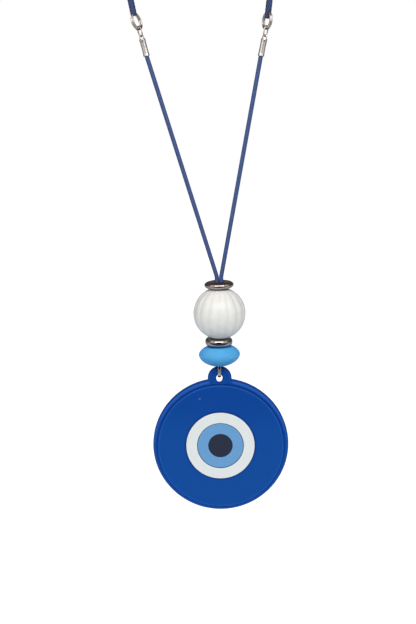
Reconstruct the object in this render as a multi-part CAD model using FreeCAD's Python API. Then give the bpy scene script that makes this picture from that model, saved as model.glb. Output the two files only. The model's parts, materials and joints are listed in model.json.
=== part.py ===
import FreeCAD, Part
import math
import os

# Evil eye pendant on a cord necklace, as it hangs at rest.
# Millimetres, +Z up, the eye looks towards -Y, +X is to the right of a person facing the eye.
# The origin is where the neck loop rests on its peg, straight above the string of beads.
#
# From the top: a thick braided neck cord, on each side a split ring, a jump ring and a crimped
# tube with an eye, then one thin cord that runs down through the beads, turns round in the
# pendant's ring and comes back up. The thin cord is cut into lengths where it bends, so that
# each length is a rigid solid: a ball on the upper length sits over a cup in the lower one.

V = FreeCAD.Vector
X_AXIS = V(1, 0, 0)
Y_AXIS = V(0, 1, 0)
Z_AXIS = V(0, 0, 1)
OUT_DIR = "parts"
GAP = 0.03                      # running gap between pieces that only touch

# Neck cord
NECK_DROP = 268.4               # peg down to the middle of the melon bead
NECK_CORD_R = 1.05
LEFT_NECK_LEAN = 12.0           # degrees from upright where the cord leaves its ring
RIGHT_NECK_LEAN = -6.0
NECK_SIDE_HANDLE = 95.0         # how far it keeps that lean, as a curve's handle
NECK_TOP_HANDLE = 44.0          # how flat it lies over the peg, as a curve's handle

# Split rings: two coils side by side
RING_MEAN_R = 2.68
RING_COIL_R = 0.32
RING_COIL_STEP = 0.60           # middle of one coil to middle of the other
RING_TURN = 66.0                # degrees that a ring is turned about its own upright
TUNNEL_HALF_WIDTH = 0.70        # the hole in the neck cord that a ring passes through
TUNNEL_HALF_HEIGHT = 0.78
TUNNEL_DROP = 0.06

# Jump rings: oval, round wire
JUMP_WIRE_R = 0.25
JUMP_INNER_WIDTH = 1.90
JUMP_INNER_HEIGHT = 2.90
JUMP_TURN = -60.0
JUMP_SEAT = 0.40                # the jump ring hangs this much below the split ring's inside

# Crimped tubes and their eyes
TUBE_R = 1.08
TUBE_BORE_R = 0.80
TUBE_LENGTH = 5.5
TUBE_FLARE = 0.12
EYE_PLUG_R = 0.78
EYE_PLUG_LENGTH = 1.2
EYE_FLANGE_R = 1.00
EYE_FLANGE_HEIGHT = 0.30
EYE_INNER_R = 0.50
EYE_WIRE_R = 0.22
EYE_TURN = 30.0

# Thin cord
CORD_R = 0.74
CORD_IN_TUBE = 3.8
CORD_BEND_BELOW_TUBE = 0.4
STRANDS_MIDDLE_X = -0.20        # the two strands lie side by side about this line
BALL_ABOVE_MELON = 12.8         # where the strands start to bend over the top bead
CUP_RIM = 35.0                  # degrees below the ball's equator
CORD_END_BELOW_BORE = 0.1       # how far the strands reach into the blue bead's wide bore
LEFT_TUBE_FOOT = (-24.4, 87.0)  # x, and height above the middle of the melon bead
LEFT_TUBE_LEAN = 15.0
LEFT_JUMP_LEAN = 17.0
LEFT_RING_LEAN = 20.0
RIGHT_TUBE_FOOT = (13.6, 87.0)
RIGHT_TUBE_LEAN = -11.0
RIGHT_JUMP_LEAN = -10.6
RIGHT_RING_LEAN = -6.0

# Beads
BEAD_HOLE_R = 1.75
BEAD_TILT = 2.0                 # degrees that two of the beads lean to the left on the cord
TILT_GAP = 0.14                 # room that a leaning bead needs over or under its neighbour
MELON_R = 9.12
MELON_HALF_HEIGHT = 8.54
MELON_LOBES = 16
MELON_TURN = -3.0               # degrees that its grooves stand round from the middle of the front
MELON_GROOVE_DEPTH = 0.20
MELON_GROOVE_HALF_WIDTH = 0.95
TOP_RONDELLE_R = 5.08
TOP_RONDELLE_HEIGHT = 2.6
TOP_RONDELLE_POWER = 2.1        # how boxy its oval outline is: 2 is a plain ellipse
LOW_RONDELLE_R = 4.78
LOW_RONDELLE_HEIGHT = 3.0
LOW_RONDELLE_POWER = 2.6
RONDELLE_HOLE_R = 1.62
RONDELLE_CROWN_R = 2.8          # where a rondelle is highest
BLUE_R = 7.2
BLUE_CUT_ABOVE = 2.88           # its widest circle up to its flat top
BLUE_CUT_BELOW = 3.75           # and down to its flat foot
BLUE_OVAL_ABOVE = 3.75          # the same for the pointed oval before its ends are cut flat
BLUE_OVAL_BELOW = 4.30
BLUE_POWER = 1.85
BLUE_BORE_R = 2.60              # wide bore that the pendant's ring draws up into
BLUE_BORE_DEPTH = 4.80
BLUE_MOUTH_R = 2.95
BLUE_MOUTH_DEPTH = 0.80

# Cord loop and the pendant's ring
PENDANT_WIRE_R = 0.50
PENDANT_RING_INNER_WIDTH = 2.80
RING_IN_BEAD = 1.0              # the ring's inside reaches this far up into the blue bead
RING_IN_HOLE = 0.24             # its inside stays this far below the top of the tab's hole
LOOP_TOP_BELOW_BORE = 0.30
LOOP_SLACK = 0.06               # between the cord's turn and the ring's wire

# Pendant: a moulded disc with a tab, and three coloured fills
DISC_R = 24.0
DISC_HALF_THICKNESS = 1.5
DISC_DROP = 47.33               # middle of the melon bead down to the middle of the disc
DISC_X = 0.55                   # the disc hangs a little to the right of the beads
FACE_Y = -1.30
RIM_FOOT_R = 22.6
RIM_CROWN_R = 23.3
BACK_ROUND = 1.0
EDGE_Y = -0.6                   # where the straight edge ends and the rounded rim begins
GROOVE_R = 22.3
GROOVE_WIRE_R = 0.42
GROOVE_Y = -1.42
TAB_R = 4.2
TAB_X = 0.1
TAB_DROP = 23.2
TAB_HALF_THICKNESS = 1.2
TAB_ROUND = 0.5
HOLE_R = 1.43
HOLE_ROUND = 0.7
HOLE_TOP_DROP = 21.67
HOLE_TIP_DROP = 24.8
EYE_CENTRE_X = 0.42
EYE_DROP = 0.2                  # the eye sits this much below the middle of the disc
POCKET_FLOOR_Y = -0.5
WHITE_R = 12.2
LIGHT_BLUE_R = 8.18
PUPIL_R = 4.2
WHITE_Y = -1.45
LIGHT_BLUE_Y = -1.36
PUPIL_Y = -1.22
FILL_ROUND = 0.10

# Heights worked out from the sizes above
MELON_Z = -NECK_DROP
TOP_RONDELLE_Z = MELON_Z + MELON_HALF_HEIGHT + TILT_GAP + TOP_RONDELLE_HEIGHT / 2
LOW_RONDELLE_Z = MELON_Z - MELON_HALF_HEIGHT - GAP - LOW_RONDELLE_HEIGHT / 2
BLUE_Z = LOW_RONDELLE_Z - LOW_RONDELLE_HEIGHT / 2 - TILT_GAP - BLUE_CUT_ABOVE
BLUE_FOOT_Z = BLUE_Z - BLUE_CUT_BELOW
BALL_Z = MELON_Z + BALL_ABOVE_MELON
HOLE_TOP_Z = MELON_Z - HOLE_TOP_DROP
HOLE_Z = HOLE_TOP_Z - HOLE_R
TAB_Z = MELON_Z - TAB_DROP
DISC_Z = MELON_Z - DISC_DROP
PENDANT_RING_FOOT_Z = HOLE_TOP_Z - RING_IN_HOLE     # inside of the ring at its lowest
PENDANT_RING_HEAD_Z = BLUE_FOOT_Z + RING_IN_BEAD    # inside of the ring at its highest
LOOP_TURN_Z = PENDANT_RING_HEAD_Z + PENDANT_WIRE_R  # middle of the wire that the loop holds


def up_from(point, lean, distance):
    """The point at a distance from another, up a line that leans left by lean degrees."""
    angle = math.radians(lean)
    return point + V(-math.sin(angle), 0, math.cos(angle)) * distance


def rod(start, end, radius):
    return Part.makeCylinder(radius, (end - start).Length, start, end - start)


def ball(centre, radius):
    return Part.makeSphere(radius, centre)


def fuse(shapes):
    whole = shapes[0]
    for shape in shapes[1:]:
        whole = whole.fuse(shape)
    return whole.removeSplitter()


def stand(shape, turn, lean, place):
    """Turn a shape about +Z, lean it to the left in the XZ plane, then move it."""
    shape.rotate(V(0, 0, 0), Z_AXIS, turn)
    shape.rotate(V(0, 0, 0), Y_AXIS, -lean)
    shape.translate(place)
    return shape


def revolve_about_z(points_and_arcs):
    """A solid of revolution from a closed outline drawn in the XZ plane, with x as radius."""
    return Part.Face(Part.Wire(points_and_arcs)).revolve(V(0, 0, 0), Z_AXIS, 360)


def signed_power(value, power):
    return math.copysign(abs(value) ** power, value)


def oval_ring(inner_r, outer_r, crown_r, half_height, power):
    """A rounded ring bead: its section is an oval, highest at crown_r."""
    points = []
    steps = 32
    for step in range(steps):
        angle = 2 * math.pi * step / steps
        across = signed_power(math.cos(angle), 2 / power)
        reach = outer_r - crown_r if across > 0 else crown_r - inner_r
        height = half_height * signed_power(math.sin(angle), 2 / power)
        points.append(V(crown_r + reach * across, 0, height))
    curve = Part.BSplineCurve()
    curve.interpolate(Points=points, PeriodicFlag=True)
    return revolve_about_z([curve.toShape()])


def oval_wire_ring(inner_width, inner_height, wire_r):
    """A ring of round wire in the XZ plane with two straight sides, centred on the origin."""
    mean_r = inner_width / 2 + wire_r
    straight = inner_height / 2 - inner_width / 2
    upper = Part.makeTorus(mean_r, wire_r, V(0, 0, 0), Y_AXIS)
    box_size = 4 * (mean_r + wire_r)
    half_space = Part.makeBox(box_size, box_size, box_size, V(-box_size / 2, -box_size / 2, 0))
    upper = upper.common(half_space)
    lower = upper.mirror(V(0, 0, 0), Z_AXIS)
    upper.translate(V(0, 0, straight))
    lower.translate(V(0, 0, -straight))
    pieces = [upper, lower]
    for x in (-mean_r, mean_r):
        pieces.append(rod(V(x, 0, -straight), V(x, 0, straight), wire_r))
    return fuse(pieces)


def split_ring():
    """Two coils side by side, pressed together, in the XZ plane."""
    coils = []
    for y in (-RING_COIL_STEP / 2, RING_COIL_STEP / 2):
        coils.append(Part.makeTorus(RING_MEAN_R, RING_COIL_R, V(0, y, 0), Y_AXIS))
    return fuse(coils)


def tube():
    """A crimped tube along +Z from the origin, slightly flared at both ends."""
    body = Part.makeCylinder(TUBE_R, TUBE_LENGTH)
    waist = Part.makeCone(TUBE_R, TUBE_R - TUBE_FLARE, TUBE_LENGTH / 2)
    outline = fuse([waist, waist.mirror(V(0, 0, TUBE_LENGTH / 2), Z_AXIS)])
    return body.common(outline).cut(Part.makeCylinder(TUBE_BORE_R, TUBE_LENGTH))


def tube_eye():
    """A plug in the tube's top with a flange and a wire arch. The origin is inside its crown."""
    flange_top = -2 * EYE_INNER_R
    flange_foot = flange_top - EYE_FLANGE_HEIGHT
    arch_r = EYE_INNER_R + EYE_WIRE_R
    arch = Part.makeTorus(arch_r, EYE_WIRE_R, V(0, 0, -EYE_INNER_R), Y_AXIS)
    size = 4 * arch_r
    arch = arch.common(Part.makeBox(size, size, size, V(-size / 2, -size / 2, -EYE_INNER_R)))
    pieces = [
        arch,
        Part.makeCylinder(EYE_FLANGE_R, EYE_FLANGE_HEIGHT, V(0, 0, flange_foot)),
        Part.makeCylinder(EYE_PLUG_R, EYE_PLUG_LENGTH, V(0, 0, flange_foot - EYE_PLUG_LENGTH)),
    ]
    for x in (-arch_r, arch_r):
        pieces.append(rod(V(x, 0, flange_top), V(x, 0, -EYE_INNER_R), EYE_WIRE_R))
    return fuse(pieces)


class Side:
    """Where the hardware of one side hangs, from the tube's foot up to the neck cord."""

    def __init__(self, foot, tube_lean, jump_lean, ring_lean, neck_lean, turn_sign, strand_x):
        self.tube_lean = tube_lean
        self.jump_lean = jump_lean
        self.ring_lean = ring_lean
        self.neck_lean = neck_lean
        self.turn_sign = turn_sign
        self.foot = V(foot[0], 0, MELON_Z + foot[1])
        self.ball = V(strand_x, 0, BALL_Z)
        to_crown = TUBE_LENGTH + EYE_FLANGE_HEIGHT + 2 * EYE_INNER_R
        self.eye_crown = up_from(self.foot, tube_lean, to_crown)
        self.jump_middle = up_from(self.eye_crown, jump_lean, JUMP_INNER_HEIGHT / 2)
        self.ring_foot = up_from(self.eye_crown, jump_lean, JUMP_INNER_HEIGHT - JUMP_SEAT)
        self.ring_middle = up_from(self.ring_foot, ring_lean, RING_MEAN_R - RING_COIL_R)
        self.ring_head = up_from(self.ring_foot, ring_lean, 2 * RING_MEAN_R - RING_COIL_R)

    def ring(self):
        return stand(split_ring(), self.turn_sign * RING_TURN, self.ring_lean, self.ring_middle)

    def jump_ring(self):
        link = oval_wire_ring(JUMP_INNER_WIDTH, JUMP_INNER_HEIGHT, JUMP_WIRE_R)
        return stand(link, self.turn_sign * JUMP_TURN, self.jump_lean, self.jump_middle)

    def tube(self):
        return stand(tube(), 0, self.tube_lean, self.foot)

    def eye(self):
        return stand(tube_eye(), self.turn_sign * EYE_TURN, self.tube_lean, self.eye_crown)

    def cord_leg(self):
        """From the ball above the beads, straight to the tube and up into its bore."""
        bend = up_from(self.foot, self.tube_lean, -CORD_BEND_BELOW_TUBE)
        head = up_from(self.foot, self.tube_lean, CORD_IN_TUBE)
        return fuse([
            ball(self.ball, CORD_R),
            rod(self.ball, bend, CORD_R),
            ball(bend, CORD_R),
            rod(bend, head, CORD_R),
        ])

    def ring_tunnel(self):
        """The oval hole through the neck cord's end, along the ring's wire."""
        length = 6 * NECK_CORD_R
        section = Part.Ellipse(V(0, 0, 0), TUNNEL_HALF_HEIGHT, TUNNEL_HALF_WIDTH).toShape()
        tunnel = Part.Face(Part.Wire([section])).extrude(V(0, 0, length))
        tunnel.translate(V(0, 0, -length / 2))
        tunnel.rotate(V(0, 0, 0), Y_AXIS, 90)
        place = self.ring_head - V(0, 0, TUNNEL_DROP)
        return stand(tunnel, self.turn_sign * RING_TURN, self.ring_lean, place)


LEFT = Side(LEFT_TUBE_FOOT, LEFT_TUBE_LEAN, LEFT_JUMP_LEAN, LEFT_RING_LEAN, LEFT_NECK_LEAN,
            1, STRANDS_MIDDLE_X - CORD_R - GAP / 4)
RIGHT = Side(RIGHT_TUBE_FOOT, RIGHT_TUBE_LEAN, RIGHT_JUMP_LEAN, RIGHT_RING_LEAN,
             RIGHT_NECK_LEAN, -1, STRANDS_MIDDLE_X + CORD_R + GAP / 4)


def neck_cord():
    """The thick cord from one split ring, up over the peg and down to the other."""
    top = V(0, 0, NECK_CORD_R)
    halves = []
    for side, across in ((LEFT, -X_AXIS), (RIGHT, X_AXIS)):
        curve = Part.BezierCurve()
        curve.setPoles([
            side.ring_head,
            up_from(side.ring_head, side.neck_lean, NECK_SIDE_HANDLE),
            top + across * NECK_TOP_HANDLE,
            top,
        ])
        halves.append(curve.toShape())
    path = Part.Wire(halves)
    along = up_from(V(0, 0, 0), LEFT.neck_lean, 1)
    section = Part.Wire([Part.makeCircle(NECK_CORD_R, LEFT.ring_head, along)])
    cord = path.makePipeShell([section], True, False)
    ends = [ball(LEFT.ring_head, NECK_CORD_R), ball(RIGHT.ring_head, NECK_CORD_R)]
    return fuse([cord] + ends).cut(LEFT.ring_tunnel()).cut(RIGHT.ring_tunnel())


def cord_core():
    """The two strands inside the beads, each with a cup for the ball above it."""
    foot_z = BLUE_FOOT_Z + BLUE_BORE_DEPTH - CORD_END_BELOW_BORE
    rim_z = BALL_Z - CORD_R * math.sin(math.radians(CUP_RIM))
    strands = []
    for side in (LEFT, RIGHT):
        x = side.ball.x
        strand = rod(V(x, 0, foot_z), V(x, 0, rim_z), CORD_R)
        strands.append(strand.cut(ball(side.ball, CORD_R + GAP)))
    return Part.makeCompound(strands)


def cord_loop():
    """The turn of the cord that holds the pendant's ring, inside the blue bead's wide bore."""
    turn_r = CORD_R + PENDANT_WIRE_R + LOOP_SLACK
    top_z = BLUE_FOOT_Z + BLUE_BORE_DEPTH - LOOP_TOP_BELOW_BORE
    turn = Part.makeTorus(turn_r, CORD_R, V(0, 0, 0), Y_AXIS)
    size = 4 * turn_r
    turn = turn.common(Part.makeBox(size, size, size, V(-size / 2, -size / 2, -size)))
    turn.translate(V(0, 0, LOOP_TURN_Z))
    strands = [turn]
    for x in (-turn_r, turn_r):
        strands.append(rod(V(x, 0, LOOP_TURN_Z), V(x, 0, top_z), CORD_R))
    return fuse(strands)


def melon_bead():
    """A fluted ball: each pair of opposite grooves is cut by one upright ring."""
    flat = Part.makeBox(4 * MELON_R, 4 * MELON_R, 2 * MELON_HALF_HEIGHT,
                        V(-2 * MELON_R, -2 * MELON_R, -MELON_HALF_HEIGHT))
    bead = Part.makeSphere(MELON_R).common(flat)
    half_width = MELON_GROOVE_HALF_WIDTH
    groove_r = (half_width ** 2 + MELON_GROOVE_DEPTH ** 2) / (2 * MELON_GROOVE_DEPTH)
    mean_r = MELON_R + groove_r - MELON_GROOVE_DEPTH
    for pair in range(MELON_LOBES // 2):
        angle = math.radians(MELON_TURN) + 2 * math.pi * pair / MELON_LOBES
        across = V(math.cos(angle), math.sin(angle), 0)
        bead = bead.cut(Part.makeTorus(mean_r, groove_r, V(0, 0, 0), across))
    bore = Part.makeCylinder(BEAD_HOLE_R, 4 * MELON_R, V(0, 0, -2 * MELON_R))
    bead = bead.cut(bore)
    bead.translate(V(0, 0, MELON_Z))
    return bead


def blue_bead():
    """A pointed oval of revolution with flat ends, a cord hole above and a wide bore below."""
    points = []
    steps = 24
    for step in range(steps + 1):
        angle = math.pi * (step / steps - 0.5)
        across = signed_power(math.cos(angle), 2 / BLUE_POWER)
        height = signed_power(math.sin(angle), 2 / BLUE_POWER)
        reach = BLUE_OVAL_ABOVE if height > 0 else BLUE_OVAL_BELOW
        points.append(V(BLUE_R * across, 0, reach * height))
    curve = Part.BSplineCurve()
    curve.interpolate(Points=points)
    spine = Part.makeLine(points[-1], points[0])
    bead = revolve_about_z([curve.toShape(), spine])
    size = 4 * BLUE_R
    foot = V(0, 0, -BLUE_CUT_BELOW)
    corner = V(-size / 2, -size / 2, -BLUE_CUT_BELOW)
    bead = bead.common(Part.makeBox(size, size, BLUE_CUT_ABOVE + BLUE_CUT_BELOW, corner))
    bead = bead.cut(Part.makeCylinder(BEAD_HOLE_R, size, foot))
    bead = bead.cut(Part.makeCylinder(BLUE_BORE_R, BLUE_BORE_DEPTH, foot))
    bead = bead.cut(Part.makeCone(BLUE_MOUTH_R, BLUE_BORE_R, BLUE_MOUTH_DEPTH, foot))
    return stand(bead, 0, BEAD_TILT, V(0, 0, BLUE_Z))


def rondelle(radius, height, power, lean, z):
    bead = oval_ring(RONDELLE_HOLE_R, radius, RONDELLE_CROWN_R, height / 2, power)
    return stand(bead, 0, lean, V(STRANDS_MIDDLE_X, 0, z))


def pendant_ring():
    """An oval ring that stands in the YZ plane, through the cord loop and the tab."""
    height = PENDANT_RING_HEAD_Z - PENDANT_RING_FOOT_Z
    ring = oval_wire_ring(PENDANT_RING_INNER_WIDTH, height, PENDANT_WIRE_R)
    return stand(ring, 90, 0, V(0, 0, PENDANT_RING_FOOT_Z + height / 2))


def disc_point(radius, y):
    return V(DISC_X + radius, y, DISC_Z)


def disc_blank():
    """The disc before its fills: a flat back with a rounded edge and a rounded rim in front."""
    back_y = DISC_HALF_THICKNESS
    corner = BACK_ROUND * (1 - math.sqrt(0.5))
    back = Part.makeLine(disc_point(0, back_y), disc_point(DISC_R - BACK_ROUND, back_y))
    back_edge = Part.Arc(
        disc_point(DISC_R - BACK_ROUND, back_y),
        disc_point(DISC_R - corner, back_y - corner),
        disc_point(DISC_R, back_y - BACK_ROUND),
    ).toShape()
    side = Part.makeLine(disc_point(DISC_R, back_y - BACK_ROUND), disc_point(DISC_R, EDGE_Y))
    rim = Part.Arc(
        disc_point(DISC_R, EDGE_Y),
        disc_point(RIM_CROWN_R, -DISC_HALF_THICKNESS),
        disc_point(RIM_FOOT_R, FACE_Y),
    ).toShape()
    face = Part.makeLine(disc_point(RIM_FOOT_R, FACE_Y), disc_point(0, FACE_Y))
    spine = Part.makeLine(disc_point(0, FACE_Y), disc_point(0, back_y))
    outline = Part.Wire([back, back_edge, side, rim, face, spine])
    return Part.Face(outline).revolve(disc_point(0, 0), Y_AXIS, 360)


def tab():
    """The round ear on top of the disc, with both its edges rounded."""
    back = V(TAB_X, -TAB_HALF_THICKNESS, TAB_Z)
    ear = Part.makeCylinder(TAB_R, 2 * TAB_HALF_THICKNESS, back, Y_AXIS)
    rims = [edge for edge in ear.Edges if isinstance(edge.Curve, Part.Circle)]
    return ear.makeFillet(TAB_ROUND, rims)


def tab_hole():
    """A hole with rounded mouths and a small pointed foot, as a solid to cut away."""
    half = TAB_HALF_THICKNESS
    past = DISC_HALF_THICKNESS + 0.2
    mouth_r = HOLE_R + HOLE_ROUND
    inset = HOLE_ROUND * (1 - math.sqrt(0.5))

    def at(radius, y):
        return V(radius, y, HOLE_Z)

    outline = [
        Part.makeLine(at(0, -past), at(mouth_r, -past)),
        Part.makeLine(at(mouth_r, -past), at(mouth_r, -half)),
        Part.Arc(at(mouth_r, -half), at(HOLE_R + inset, inset - half),
                 at(HOLE_R, HOLE_ROUND - half)).toShape(),
        Part.makeLine(at(HOLE_R, HOLE_ROUND - half), at(HOLE_R, half - HOLE_ROUND)),
        Part.Arc(at(HOLE_R, half - HOLE_ROUND), at(HOLE_R + inset, half - inset),
                 at(mouth_r, half)).toShape(),
        Part.makeLine(at(mouth_r, half), at(mouth_r, past)),
        Part.makeLine(at(mouth_r, past), at(0, past)),
        Part.makeLine(at(0, past), at(0, -past)),
    ]
    bore = Part.Face(Part.Wire(outline)).revolve(at(0, 0), Y_AXIS, 360)
    tip_half_width = HOLE_R * 0.7
    shoulder_z = HOLE_Z - tip_half_width
    corners = [
        V(-tip_half_width, -past, shoulder_z),
        V(tip_half_width, -past, shoulder_z),
        V(0, -past, MELON_Z - HOLE_TIP_DROP),
    ]
    wedge = Part.Face(Part.makePolygon(corners + corners[:1])).extrude(V(0, 2 * past, 0))
    return fuse([bore, wedge])


def rim_gap():
    """What is cut off the rim so that the flat front of the tab runs down to the groove."""
    front = V(TAB_X, -TAB_HALF_THICKNESS, TAB_Z)
    above_rim = Part.makeCylinder(TAB_R, DISC_HALF_THICKNESS, front, -Y_AXIS)
    face = Part.makeCylinder(GROOVE_R, 4 * DISC_HALF_THICKNESS, disc_point(0, 0), -Y_AXIS)
    return above_rim.cut(face)


def pendant_body():
    body = fuse([disc_blank(), tab()])
    body = body.cut(rim_gap())
    body = body.cut(tab_hole())
    body = body.cut(Part.makeTorus(GROOVE_R, GROOVE_WIRE_R, disc_point(0, GROOVE_Y), Y_AXIS))
    pocket_depth = POCKET_FLOOR_Y - FACE_Y
    eye = V(EYE_CENTRE_X, POCKET_FLOOR_Y, DISC_Z - EYE_DROP)
    return body.cut(Part.makeCylinder(WHITE_R, 2 * pocket_depth, eye, -Y_AXIS))


def fill(outer_r, inner_r, front_y):
    """One coloured fill of the eye, with its front edges softened."""
    eye = V(EYE_CENTRE_X, POCKET_FLOOR_Y, DISC_Z - EYE_DROP)
    height = POCKET_FLOOR_Y - front_y
    disc = Part.makeCylinder(outer_r, height, eye, -Y_AXIS)
    if inner_r > 0:
        disc = disc.cut(Part.makeCylinder(inner_r, height, eye, -Y_AXIS))
    front = []
    for edge in disc.Edges:
        if isinstance(edge.Curve, Part.Circle) and abs(edge.Curve.Center.y - front_y) < 1e-6:
            front.append(edge)
    return disc.makeFillet(FILL_ROUND, front)


NODES = {
    "neck_cord": neck_cord,
    "left_split_ring": LEFT.ring,
    "left_jump_ring": LEFT.jump_ring,
    "left_ferrule": LEFT.tube,
    "left_ferrule_eye": LEFT.eye,
    "left_cord_leg": LEFT.cord_leg,
    "right_split_ring": RIGHT.ring,
    "right_jump_ring": RIGHT.jump_ring,
    "right_ferrule": RIGHT.tube,
    "right_ferrule_eye": RIGHT.eye,
    "right_cord_leg": RIGHT.cord_leg,
    "cord_core": cord_core,
    "upper_metal_rondelle": lambda: rondelle(
        TOP_RONDELLE_R, TOP_RONDELLE_HEIGHT, TOP_RONDELLE_POWER, BEAD_TILT, TOP_RONDELLE_Z),
    "melon_bead": melon_bead,
    "lower_metal_rondelle": lambda: rondelle(
        LOW_RONDELLE_R, LOW_RONDELLE_HEIGHT, LOW_RONDELLE_POWER, 0, LOW_RONDELLE_Z),
    "blue_bead": blue_bead,
    "cord_loop": cord_loop,
    "pendant_ring": pendant_ring,
    "pendant_body": pendant_body,
    "white_ring_inlay": lambda: fill(WHITE_R, LIGHT_BLUE_R, WHITE_Y),
    "light_blue_ring_inlay": lambda: fill(LIGHT_BLUE_R, PUPIL_R, LIGHT_BLUE_Y),
    "pupil_inlay": lambda: fill(PUPIL_R, 0, PUPIL_Y),
}

os.makedirs(OUT_DIR, exist_ok=True)
for node, build in NODES.items():
    build().exportStep(os.path.join(OUT_DIR, node + ".step"))
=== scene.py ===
import json
import math

import bpy
import numpy as np
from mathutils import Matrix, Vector


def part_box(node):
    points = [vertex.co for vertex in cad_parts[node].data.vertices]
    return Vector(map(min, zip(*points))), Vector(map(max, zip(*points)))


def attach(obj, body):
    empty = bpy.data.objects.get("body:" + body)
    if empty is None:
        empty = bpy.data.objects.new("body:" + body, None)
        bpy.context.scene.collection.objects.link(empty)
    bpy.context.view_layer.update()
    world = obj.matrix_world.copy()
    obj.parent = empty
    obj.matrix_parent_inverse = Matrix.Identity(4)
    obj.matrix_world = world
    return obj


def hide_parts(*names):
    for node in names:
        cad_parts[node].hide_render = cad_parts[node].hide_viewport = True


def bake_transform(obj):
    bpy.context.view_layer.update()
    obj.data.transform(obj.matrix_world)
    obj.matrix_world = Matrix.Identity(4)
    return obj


# Looks of the hanging evil eye ornament: braided cords, plated findings, beads and a moulded disc.
# The eye looks towards -Y. Lengths are millimetres in the CAD frame, and make_piece() turns them
# into metres. LEAN, TURN and TILT are degrees, and a lean to the left is positive.

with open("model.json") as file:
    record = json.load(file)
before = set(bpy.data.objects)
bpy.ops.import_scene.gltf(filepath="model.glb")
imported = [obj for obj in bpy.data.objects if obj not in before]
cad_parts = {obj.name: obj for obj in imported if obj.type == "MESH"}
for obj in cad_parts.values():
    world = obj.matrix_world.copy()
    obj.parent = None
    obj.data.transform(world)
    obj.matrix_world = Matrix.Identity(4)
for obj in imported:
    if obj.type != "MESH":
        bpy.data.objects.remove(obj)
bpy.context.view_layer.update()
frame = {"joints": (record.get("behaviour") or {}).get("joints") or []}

MM = 0.001
X_AXIS = np.array((1.0, 0.0, 0.0))
Y_AXIS = np.array((0.0, 1.0, 0.0))
Z_AXIS = np.array((0.0, 0.0, 1.0))

# ---------- sizes
# Neck cord
NECK_CORD_R = 1.05
NECK_LEAN = {"left": 12.0, "right": -6.0}
NECK_SIDE_HANDLE = 95.0  # how far it keeps its lean, as a curve's handle
NECK_TOP_HANDLE = 44.0  # how flat it lies over the peg
NECK_END_DROP = {"left": 0.75, "right": 2.05}  # from the ring's wire down to the cut end
NECK_STEP = 0.15
NECK_SEGMENTS = 48
NECK_BEVEL = 0.35

# Thin cord
THIN_CORD_R = 0.74
THIN_IN_TUBE = 3.6
THIN_BEND_BELOW_TUBE = 0.4
THIN_BEND_LENGTH = 1.0
THIN_STEP = 0.12
THIN_TURN_STEP = 0.1
THIN_SEGMENTS = 40
THIN_BEVEL = 0.2
STRANDS_BEND = (1.3, -1.2)  # its ends, above and below the joint over the top bead

# Braids
BRAID_CELLS = 8  # strands of each hand round a cord
BRAID_ROUNDNESS = 2.5  # how flat a strand is across: 2 is a parabola
FIBRES = 5  # ridges of fibre across a strand
NECK_BRAID_PITCH = 1.15
NECK_BRAID_HEIGHT = 0.13
THIN_BRAID_PITCH = 0.80
THIN_BRAID_HEIGHT = 0.06

# Wires, slightly thinner than the CAD's, so that they stay clear of each other when posed
SPLIT_RING_R = 2.68
SPLIT_COIL_R = 0.29
SPLIT_COIL_STEP = 0.56  # middle of one coil to middle of the other
SPLIT_START = 130.0  # degrees round the ring to the wire's first end
SPLIT_GAP = 8.0  # degrees short of two full turns
SPLIT_CROSSING = (342.0, 54.0)  # degrees along the wire where it steps over, and how long that takes
SPLIT_FLATNESS = 0.93
SPLIT_POWER = 2.4  # how boxy the wire is: 2 is round
RING_TURN = {"left": 66.0, "right": -66.0}
JUMP_WIRE_R = 0.22
JUMP_SIZE = (2.40, 3.40)  # width and height of the wire's middle line
JUMP_GAP = 0.1
JUMP_GAP_PLACE = 10.0  # degrees round the ring
JUMP_TURN = {"left": -60.0, "right": 60.0}
EYE_INNER_R = 0.50
EYE_MEAN_R = 0.72
EYE_WIRE_R = 0.205
EYE_TURN = {"left": 30.0, "right": -30.0}
WIRE_SEGMENTS = 18

# Tubes and their caps
TUBE_LEAN = {"left": 15.0, "right": -11.0}
TUBE_R = 1.08
TUBE_BORE_R = 0.80
TUBE_LENGTH = 5.5
TUBE_FLARE = 0.12
TUBE_LIP = 0.9  # length of the flare at each end
TUBE_TAPER = 0.03  # from the lips' feet to the waist
TUBE_SEAM = (75.0, 0.05, 0.05)  # degrees round, half its width in radians, depth
EYE_FLANGE_R = 1.00
EYE_FLANGE_HEIGHT = 0.30
CAP_PLUG_R = 0.74
CAP_PLUG_LENGTH = 0.9
CAP_SLOPE = 0.12
CAP_DISH_R = 0.45
AXIS_R = 0.02  # where an outline ends beside its axis
DISC_AXIS_R = 0.05

# Beads
BEAD_TILT = 2.0
BEAD_SEGMENTS = 160
RONDELLE_HOLE_R = 1.62
RONDELLE_CROWN_R = 2.8
MELON_R = 9.12
MELON_HALF_HEIGHT = 8.54
MELON_LOBES = 16
MELON_TURN = -3.0
MELON_HOLE_R = 1.75
MELON_LIP_R = 2.35
MELON_VALLEY_DEPTH = 0.22
MELON_VALLEY_WIDTH = 0.24  # in lobes
MELON_FLUTE_START_R = 2.6
BLUE_R = 7.2
BLUE_CUT_ABOVE = 2.88
BLUE_CUT_BELOW = 3.75
BLUE_OVAL_ABOVE = 3.75
BLUE_OVAL_BELOW = 4.30
BLUE_POWER = 1.85  # how pointed its oval is: 2 is a plain ellipse
BLUE_BORE = ((1.75, 2.88), (1.75, 1.05), (2.60, 1.05), (2.60, -2.95), (2.95, -3.75))

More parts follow.
